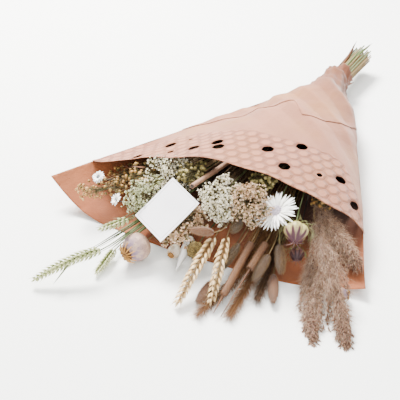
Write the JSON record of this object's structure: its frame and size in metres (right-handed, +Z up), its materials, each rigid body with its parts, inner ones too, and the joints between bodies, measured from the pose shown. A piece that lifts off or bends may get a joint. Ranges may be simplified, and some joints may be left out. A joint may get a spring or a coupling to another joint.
{
  "type": "mixed dried flower bouquet",
  "caption": "Mixed bouquet of dried flowers, grasses and seed pods lying in a gathered kraft paper sleeve with a blank card.",
  "frame": {"origin": "on the resting surface, under the middle of the bouquet's bounding box", "axes": "+Y from the flower heads to the cut stems along the bouquet, +X to the right seen from behind the flower heads looking to the stems, +Z up"},
  "size_m": [0.4399, 0.7128, 0.1109],
  "materials": {
    "kraft_paper": "matt pinkish-brown wrapping paper, plain and slightly creased, with a printed band of hexagon cells",
    "card_stock": "smooth matt white card, blank",
    "binding_twine": "coarse twisted natural twine",
    "green_ear": "dry grey-green cereal ear and stem",
    "ripe_wheat": "bleached cream wheat husks and straw",
    "bunny_tail": "fine tan fur on a thin straw stem",
    "cattail": "velvety brown seed body on a straw stem",
    "bristle_grass": "reddish brown bristles",
    "reed_plume": "soft mauve-brown plume with dark spikelets",
    "reed_straw": "smooth pale hollow straw",
    "white_blossom": "tiny white papery blossoms on fine stems",
    "flax_pod": "small olive to golden round seed pods on wiry stems",
    "poppy_pod": "matt mauve-grey seed pod with a brown rayed crown",
    "pale_bud": "pale bud with a small brown crown",
    "nigella_pale": "inflated straw-coloured pod with purple stripes",
    "nigella_dark": "dark purple pod with wiry bracts",
    "white_petal": "dry white papery petals round a grey-lilac disc",
    "scabious": "rough brown-green seed head",
    "pale_leaf": "smooth bleached leaf",
    "brown_leaf": "dry curled brown leaf"
  },
  "bodies": {
    "root": {"bristle_grass_dark": "bristle_grass", "bristle_grass_left": "bristle_grass", "bristle_grass_right": "bristle_grass", "bunny_tail_front": "bunny_tail", "bunny_tail_left": "bunny_tail", "bunny_tail_low": "bunny_tail", "bunny_tail_middle": "bunny_tail", "bunny_tail_ochre": "bunny_tail", "bunny_tail_right": "bunny_tail", "bunny_tail_round": "bunny_tail", "cattail_long": "cattail", "cattail_short": "cattail", "curled_leaf": "brown_leaf", "flax_spray_far": "flax_pod", "flax_spray_inner": "flax_pod", "flax_spray_middle": "flax_pod", "flax_spray_outer": "flax_pod", "flax_spray_right": "flax_pod", "flax_spray_upper": "flax_pod", "gift_card": "card_stock", "green_ear_high": "green_ear", "green_ear_long": "green_ear", "green_ear_short": "green_ear", "nigella_pod_dark": "nigella_dark", "nigella_pod_pale": "nigella_pale", "pale_leaf": "pale_leaf", "papery_flower_inner": "white_petal", "papery_flower_outer": "white_petal", "poppy_bud": "pale_bud", "poppy_pod_large": "poppy_pod", "poppy_pod_side": "poppy_pod", "reed_plume_long": "reed_plume", "reed_plume_short": "reed_plume", "reed_plume_side": "reed_plume", "reed_stick": "reed_straw", "scabious_head": "scabious", "sleeve_back_sheet": "kraft_paper", "sleeve_front_sheet": "kraft_paper", "stem_tie": "binding_twine", "strawflower": "white_petal", "wheat_ear_left": "ripe_wheat", "wheat_ear_right": "ripe_wheat", "white_spray_card": "white_blossom", "white_spray_left": "white_blossom", "white_spray_low": "white_blossom", "white_spray_middle": "white_blossom", "white_spray_right": "white_blossom"}
  },
  "joints": []
}
